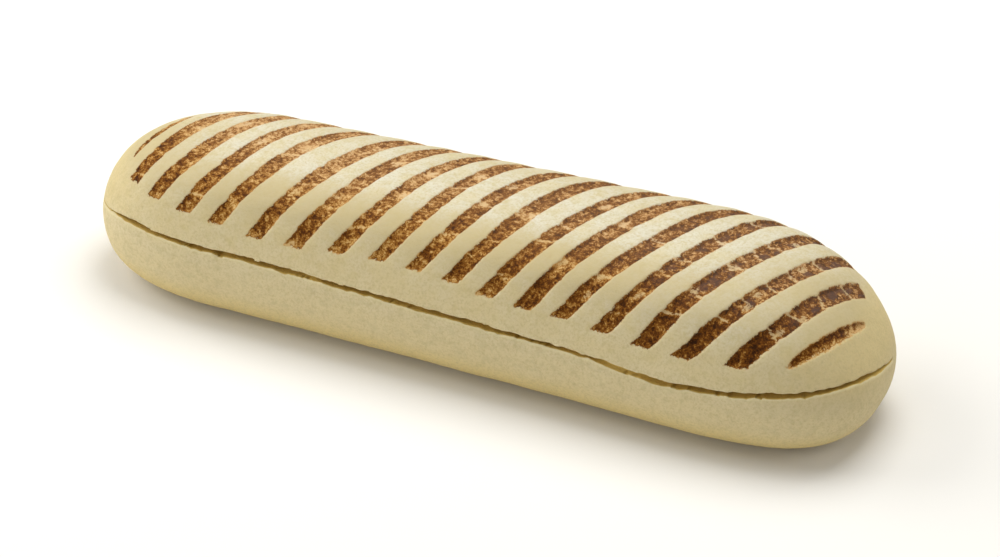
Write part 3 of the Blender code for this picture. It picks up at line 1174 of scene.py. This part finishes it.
@dataclass
class Loaf:
    """The whole loaf as one skin: form, pressed marks and hinge cut, with its finish."""

    bars: GrillBars = field(default_factory=GrillBars)
    cut: HingeCut = field(default_factory=HingeCut)
    finish: CrustFinish = field(default_factory=CrustFinish)
    around: int = 256
    mark_rings: tuple[float, ...] = (-1.3, -1.0, -0.78, -0.4, 0, 0.4, 0.78, 1.0, 1.3)
    ridge_rings: tuple[float, ...] = (0.25, 0.5, 0.75)
    end_rings: int = 20
    widening: Span = (15 * MM, 30 * MM)
    scallop: float = 0.32 * MM
    scallop_sizes: Pair = (3.6, 1.5)
    scallop_seed: float = 7.3
    scallop_shares: tuple[tuple[int, float], ...] = ((-1, 1.0), (1, 0.6))
    fine_share: float = 0.5
    notch: float = 0.55 * MM
    notch_width: float = 0.9 * MM
    levelled: Span = (4 * MM, 12 * MM)
    lens_end: float = 0.25
    lens_power: float = 0.7
    break_width: float = 0.55 * MM
    break_lean: float = 1.2 * MM
    break_strength: float = 0.7
    break_gain: float = 0.02
    break_spread: float = 0.2
    bald_strength: float = 0.9
    bald_off: float = 0.55
    bald_length: float = 2.2 * MM
    bald_width: float = 0.6
    tip_search: float = 3
    first_depth: float = 0.5
    end_ramp: Span = (-0.8 * MM, 1.8 * MM)
    wall_edge: float = 1.02
    lip_rise: Span = (0.95, 1.2)
    lip_fall: Span = (1.2, 1.75)
    swell_rise: Span = (1, 2.1)
    sunk: float = 0.3 * MM
    lump: float = 0.18 * MM
    lump_sizes: Pair = (17 * MM, 5 * MM)
    centring: Place = (-0.106 * MM, -0.998 * MM, 0.007 * MM)

    def scalloped_half_widths(
        self, along: np.ndarray, from_near: np.ndarray
    ) -> tuple[np.ndarray, np.ndarray]:
        """Half widths of every mark along its length, in bar spacings.

        Args:
            along: the distance of each angle's point from the crown, one row a mark.
            from_near: its distance from the mark's near end.

        Returns:
            The half widths towards the -X and the +X side.
        """
        large, small = self.scallop_sizes
        widths = []
        for side, share in self.scallop_shares:
            rows = []
            for mark, half in enumerate(self.bars.half_widths):
                widened = smooth_step(*self.widening, from_near[mark])
                wide = half[0] + (half[1] - half[0]) * widened
                bumps = [
                    noise.noise(Vector((step / large, mark * self.scallop_seed, side)))
                    + self.fine_share * noise.noise(Vector((step / small, mark, side)))
                    for step in along[mark] / MM
                ]
                notches = sum(
                    bell((from_near[mark] - place * MM) / self.notch_width)
                    for place in self.bars.breaks[mark]
                )
                rough = self.scallop * share * np.array(bumps) - self.notch * share * notches
                rows.append(wide * MM + rough)
            widths.append(np.array(rows) / self.bars.spacing)
        return widths[0], widths[1]

    def build_skin(self) -> bmesh.types.BMesh:
        """The closed skin with its pressed marks, still uncut.

        Returns:
            The mesh, whose layers mark and grill hold each corner's place in its mark, and
            whose layer outward says how far out on the loaf it is, seen from above.
        """
        form = LoafForm(self.bars)
        angles = np.arange(self.around) * 2 * math.pi / self.around
        lines = self.mark_lines(form, angles)
        traces, along = lines.traces, lines.along
        left, right = self.scalloped_half_widths(along, lines.from_near)
        self.taper(left, right, lines)

        rows = []
        for mark, trace in enumerate(traces):
            for part in self.mark_rings:
                rows.append(trace + part * (left[mark] if part < 0 else right[mark]))
            if mark + 1 < len(traces):
                start = rows[-1]
                end = traces[mark + 1] + self.mark_rings[0] * left[mark + 1]
                rows += [start + (end - start) * part for part in self.ridge_rings]
        first, last = float(rows[0].mean()), float(rows[-1].mean())
        left_tip = form.tip(first, first - self.tip_search)
        right_tip = form.tip(last, last + self.tip_search)
        rings = range(1, self.end_rings + 1)
        curve = [math.sin(math.pi / 2 * ring / self.end_rings) for ring in rings]
        bars = np.array(
            [rows[0] + (left_tip - rows[0]) * part for part in reversed(curve)]
            + rows
            + [rows[-1] + (right_tip - rows[-1]) * part for part in curve]
        )

        points, across = form.skin(bars, np.broadcast_to(angles, bars.shape))
        owner = np.argmin(np.abs(bars[:, :, None] - traces.T), axis=2)
        columns = np.broadcast_to(np.arange(self.around), bars.shape)
        off = bars - traces[owner, columns]
        half = np.where(off < 0, left[owner, columns], right[owner, columns])
        aside = off * self.bars.spacing
        edge = (half - np.abs(off)) * self.bars.spacing
        near = self.levelled_near(lines, lines.from_near[owner, columns], owner, points[..., 2])
        far = along[owner, columns] - lines.far[owner]
        height = self.relief(points, bars, owner, off / half, near, far)
        points += height[..., None] * self.normals(points)
        points[..., 2] = np.maximum(points[..., 2], 0)
        bare = self.bare(owner, off / half, near)
        outward = form.plan_distance(bars, across)
        fields = [edge / MM, aside / MM, near / MM, far / MM, bare, outward]
        return self.lay_out(points, np.stack(fields, axis=-1), owner)

    def mark_lines(self, form: LoafForm, angles: np.ndarray) -> MarkLines:
        """Lay the middle line of every mark round the loaf.

        Args:
            form: the loaf's form.
            angles: the angles of the skin's rays.

        Returns:
            The lines.
        """
        flat = np.arange(self.bars.count)[:, None] * np.ones(self.around)
        _, across = form.skin(flat, angles)
        traces = self.bars.traces(across)
        points, across = form.skin(traces, angles)
        top = self.around // 4
        along = self.distance_along(points)
        near_side, far_side = slice(top, 2 * top + 1), slice(0, top + 1)
        near = self.end_distances(along, across, self.bars.near_ends, near_side)
        far = self.end_distances(along, across, self.bars.far_ends, far_side)
        levels, down = points[:, near_side, 2], along[:, near_side]
        lines = MarkLines(traces, along, levels, down, near, far)
        lines.traces = traces + self.bars.swayed(lines.from_near)
        return lines

    def distance_along(self, points: np.ndarray) -> np.ndarray:
        """Distances along closed lines round the loaf, from the crown towards the near side.

        Args:
            points: the lines' points, one row a line.

        Returns:
            The distance of each point, negative on the far side.
        """
        top = self.around // 4
        steps = np.linalg.norm(np.diff(np.roll(points, top, axis=1), axis=1), axis=2)
        lengths = np.concatenate([np.zeros((len(points), 1)), np.cumsum(steps, axis=1)], axis=1)
        lengths = np.roll(lengths, -top, axis=1)
        return lengths - lengths[:, top : top + 1]

    def end_distances(
        self, along: np.ndarray, across: np.ndarray, ends: tuple[float, ...], side: slice
    ) -> np.ndarray:
        """Distances from the crown to one end of each mark, negative on the far side.

        Args:
            along: the distance of each point of the marks' lines from the crown.
            across: its place across the loaf.
            ends: the place across the loaf of each mark's end.
            side: the columns of the side that the ends are on.

        Returns:
            The distances, one a mark.
        """
        distances = [
            np.interp(-end, -across[mark, side], along[mark, side])
            for mark, end in enumerate(ends)
        ]
        return np.array(distances)

    def levelled_near(
        self, lines: MarkLines, near: np.ndarray, owner: np.ndarray, level: np.ndarray
    ) -> np.ndarray:
        """Distances from the near ends, so measured that each end runs level across its mark.

        Args:
            lines: the marks' middle lines.
            near: each point's distance as measured along its mark.
            owner: each point's mark.
            level: each point's height.

        Returns:
            The distances.
        """
        by_level = near.copy()
        for mark in range(self.bars.count):
            mine = owner == mark
            down = np.interp(-level[mine], -lines.levels[mark], lines.down[mark])
            by_level[mine] = lines.near[mark] - down
        blend = 1 - smooth_step(*self.levelled, near)
        return near + (by_level - near) * blend

    def bare(self, owner: np.ndarray, part: np.ndarray, near: np.ndarray) -> np.ndarray:
        """How far the bar missed the crust: thin breaks across a mark, and bald patches in it.

        Args:
            owner: each point's nearest mark.
            part: place across that mark, from -1 to 1 between its edges.
            near: distance from the mark's near end.

        Returns:
            0 where the bar pressed fully, to about 1.
        """
        bare = np.zeros(owner.shape)
        for mark in range(self.bars.count):
            mine = owner == mark
            for number, place in enumerate(self.bars.breaks[mark]):
                lean = self.break_lean * math.sin(3 * number + mark)
                strength = self.break_strength + self.break_gain * mark
                strength += self.break_spread * math.sin(7 * number + 3 * mark)
                off = (near - place * MM - lean * part) / self.break_width
                bare = np.where(mine, np.maximum(bare, strength * bell(off)), bare)
            for number, place in enumerate(self.bars.bald[mark]):
                side = self.bald_off * math.sin(5 * number + 2 * mark)
                along = (near - place * MM) / self.bald_length
                patch = bell(along) * bell((part - side) / self.bald_width)
                bare = np.where(mine, np.maximum(bare, self.bald_strength * patch), bare)
        return bare

    def taper(self, left: np.ndarray, right: np.ndarray, lines: MarkLines) -> None:
        """Narrow the first and last marks towards both of their ends, as thin lenses.

        Args:
            left: the marks' half widths towards -X, which it changes.
            right: their half widths towards +X, which it changes.
            lines: the marks' middle lines.
        """
        for mark in (0, self.bars.count - 1):
            part = (lines.along[mark] - lines.far[mark]) / (lines.near[mark] - lines.far[mark])
            part = np.clip(part, 0, 1)
            bulge = (4 * part * (1 - part)) ** self.lens_power
            lens = self.lens_end + (1 - self.lens_end) * bulge
            left[mark] *= lens
            right[mark] *= lens

    def relief(
        self,
        points: np.ndarray,
        bars: np.ndarray,
        owner: np.ndarray,
        part: np.ndarray,
        near: np.ndarray,
        far: np.ndarray,
    ) -> np.ndarray:
        """How far the skin stands out of the plain form.

        Args:
            points: the plain skin.
            bars: each point's bar number.
            owner: each point's nearest mark.
            part: place across that mark, from -1 to 1 between its edges.
            near: distance from the mark's near end, positive in the mark.
            far: distance from its far end.

        Returns:
            The distance outwards along the normal.
        """
        grill = self.bars
        distance = np.abs(part)
        deep = grill.depth + grill.depth_gain * grill.turn(bars)
        deep = np.where(owner == 0, deep * self.first_depth, deep)
        ends = smooth_step(*self.end_ramp, np.minimum(near, far))
        floor = 1 - smooth_step(grill.floor_part, self.wall_edge, distance)
        lip = smooth_step(*self.lip_rise, distance) * (1 - smooth_step(*self.lip_fall, distance))
        lowest = grill.reach_level + grill.reach_tilt * grill.turn(bars)
        reach = smooth_step(lowest, lowest + grill.reach_ramp, points[..., 2])
        between = (bars > 0) & (bars < grill.count - 1)
        swell = grill.ridge_swell * smooth_step(*self.swell_rise, distance) * reach * between
        uneven = [
            lumps(point, self.lump_sizes, self.fine_share) for point in points.reshape(-1, 3)
        ]
        uneven = self.sunk + self.lump * np.array(uneven).reshape(bars.shape)
        return ends * (grill.lip * lip - deep * floor) + swell - uneven

    def normals(self, points: np.ndarray) -> np.ndarray:
        """Outward normals of a grid of points.

        Args:
            points: the points, ring by ring, each ring closed on itself.

        Returns:
            The normal at each point.
        """
        tiny = 1e-12
        along = np.gradient(points, axis=0)
        round_it = np.roll(points, -1, axis=1) - np.roll(points, 1, axis=1)
        normal = np.cross(along, round_it)
        normal /= np.maximum(np.linalg.norm(normal, axis=2, keepdims=True), tiny)
        from_middle = points - points.mean(axis=1, keepdims=True)
        return normal * np.sign(np.sum(normal * from_middle, axis=2, keepdims=True))

    def lay_out(
        self, points: np.ndarray, fields: np.ndarray, owner: np.ndarray
    ) -> bmesh.types.BMesh:
        """Draw a ball out over the skin's points.

        Args:
            points: the skin's points, ring by ring.
            fields: each point's distance from its mark's side, place across the mark, distances
                from its near and far ends, bareness, and how far outward on the loaf it is.
            owner: each point's mark.

        Returns:
            The closed mesh with its layers.
        """
        rings = len(points)
        shape = bmesh.new()
        bmesh.ops.create_uvsphere(
            shape,
            u_segments=self.around,
            v_segments=rings - 1,
            radius=1,
            matrix=Matrix.Rotation(math.pi / 2, 4, "Y"),
        )
        mark = shape.verts.layers.float_vector.new("mark")
        grill = shape.verts.layers.float_vector.new("grill")
        outward = shape.verts.layers.float.new("outward")
        for corner in shape.verts:
            part = math.acos(min(max(-corner.co.x, -1), 1)) / math.pi
            ring = round(part * (rings - 1))
            turn = math.atan2(corner.co.z, corner.co.y) / (2 * math.pi)
            column = round(turn * self.around) % self.around
            corner.co = points[ring, column]
            edge, across, near, far, bare, corner[outward] = fields[ring, column]
            corner[mark] = Vector((edge, across, near))
            corner[grill] = Vector((far, owner[ring, column], bare))
        bmesh.ops.recalc_face_normals(shape, faces=shape.faces)
        return shape

    def build(self) -> bpy.types.Object:
        """Build the loaf and dress it.

        Returns:
            The finished piece.
        """
        shape = self.build_skin()
        self.cut.open(shape)
        bmesh.ops.translate(shape, verts=shape.verts, vec=self.centring)
        for face in shape.faces:
            face.smooth = True
        mesh = bpy.data.meshes.new("loaf_crust")
        shape.to_mesh(mesh)
        shape.free()
        mesh.materials.append(self.finish.dress("grilled crust"))
        piece = bpy.data.objects.new("loaf_crust", mesh)
        bpy.context.scene.collection.objects.link(piece)
        return piece


# ---------------------------------------------------------------- the studio


@dataclass(frozen=True)
class SoftBox:
    """One large soft light, aimed at the loaf."""

    name: str
    place: Place
    size: float
    watts: float
    colour: Colour = (1, 1, 1)

    def build(self) -> None:
        """Hang the light."""
        light = bpy.data.lights.new(self.name, "AREA")
        light.shape = "SQUARE"
        light.size = self.size
        light.energy = self.watts
        light.color = self.colour
        holder = bpy.data.objects.new(self.name, light)
        holder.location = self.place
        holder.rotation_euler = (-Vector(self.place)).to_track_quat("-Z", "Y").to_euler()
        bpy.context.scene.collection.objects.link(holder)


@dataclass(frozen=True)
class Studio:
    """Pale floor, soft lights and the camera."""

    floor_size: float = 6.0
    floor_colour: Colour = (0.82, 0.80, 0.75)
    floor_roughness: float = 0.9
    floor_gloss: float = 0.1
    sky: Colour = (1, 1, 1)
    sky_strength: float = 0.12
    boxes: tuple[SoftBox, ...] = (
        SoftBox("key", (0.08, 0.34, 1.0), 0.8, 9.6),
        SoftBox("back", (-0.6, 0.5, 0.75), 0.8, 1.3),
        SoftBox("left", (-0.9, -0.05, 0.6), 0.8, 7.4),
        SoftBox("right", (0.95, 0.1, 0.6), 0.8, 3.1),
        SoftBox("front", (-0.4, -1.0, 0.35), 0.8, 4.3),
    )
    azimuth: float = math.radians(24.30)
    elevation: float = math.radians(33)
    distance: float = 1.11074
    aim: Place = (4.054 * MM, -2.168 * MM, 20.007 * MM)
    lens: float = 126.0
    sensor: float = 36.0

    def build(self) -> None:
        """Lay the floor, hang the lights and place the camera."""
        self.build_floor()
        self.build_sky()
        for box in self.boxes:
            box.build()
        self.build_camera()

    def build_floor(self) -> None:
        """A wide pale floor."""
        shape = bmesh.new()
        bmesh.ops.create_grid(shape, x_segments=1, y_segments=1, size=self.floor_size / 2)
        mesh = bpy.data.meshes.new("floor")
        shape.to_mesh(mesh)
        shape.free()
        material = bpy.data.materials.new("pale floor")
        material.use_nodes = True
        shader = material.node_tree.nodes["Principled BSDF"]
        shader.inputs["Base Color"].default_value = (*self.floor_colour, 1)
        shader.inputs["Roughness"].default_value = self.floor_roughness
        shader.inputs["Specular IOR Level"].default_value = self.floor_gloss
        mesh.materials.append(material)
        floor = bpy.data.objects.new("floor", mesh)
        bpy.context.scene.collection.objects.link(floor)

    def build_sky(self) -> None:
        """Even light from all round."""
        world = bpy.data.worlds.new("studio")
        world.use_nodes = True
        background = world.node_tree.nodes["Background"]
        background.inputs["Color"].default_value = (*self.sky, 1)
        background.inputs["Strength"].default_value = self.sky_strength
        bpy.context.scene.world = world
        bpy.context.scene.view_settings.view_transform = "Standard"

    def build_camera(self) -> None:
        """The camera, looking down along the loaf's near side."""
        camera = bpy.data.cameras.new("camera")
        camera.lens = self.lens
        camera.sensor_width = self.sensor
        flat, rise = math.cos(self.elevation), math.sin(self.elevation)
        back = Vector((math.sin(self.azimuth) * flat, -math.cos(self.azimuth) * flat, rise))
        holder = bpy.data.objects.new("camera", camera)
        holder.location = Vector(self.aim) + back * self.distance
        holder.rotation_euler = (-back).to_track_quat("-Z", "Y").to_euler()
        bpy.context.scene.collection.objects.link(holder)
        bpy.context.scene.camera = holder


def main() -> None:
    """Build the loaf and the studio round it."""
    loaf = Loaf().build()
    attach(loaf, "root")
    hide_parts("loaf")
    LOG.info("%s: %d faces", loaf.name, len(loaf.data.polygons))
    Studio().build()


if __name__ == "__main__":
    main()
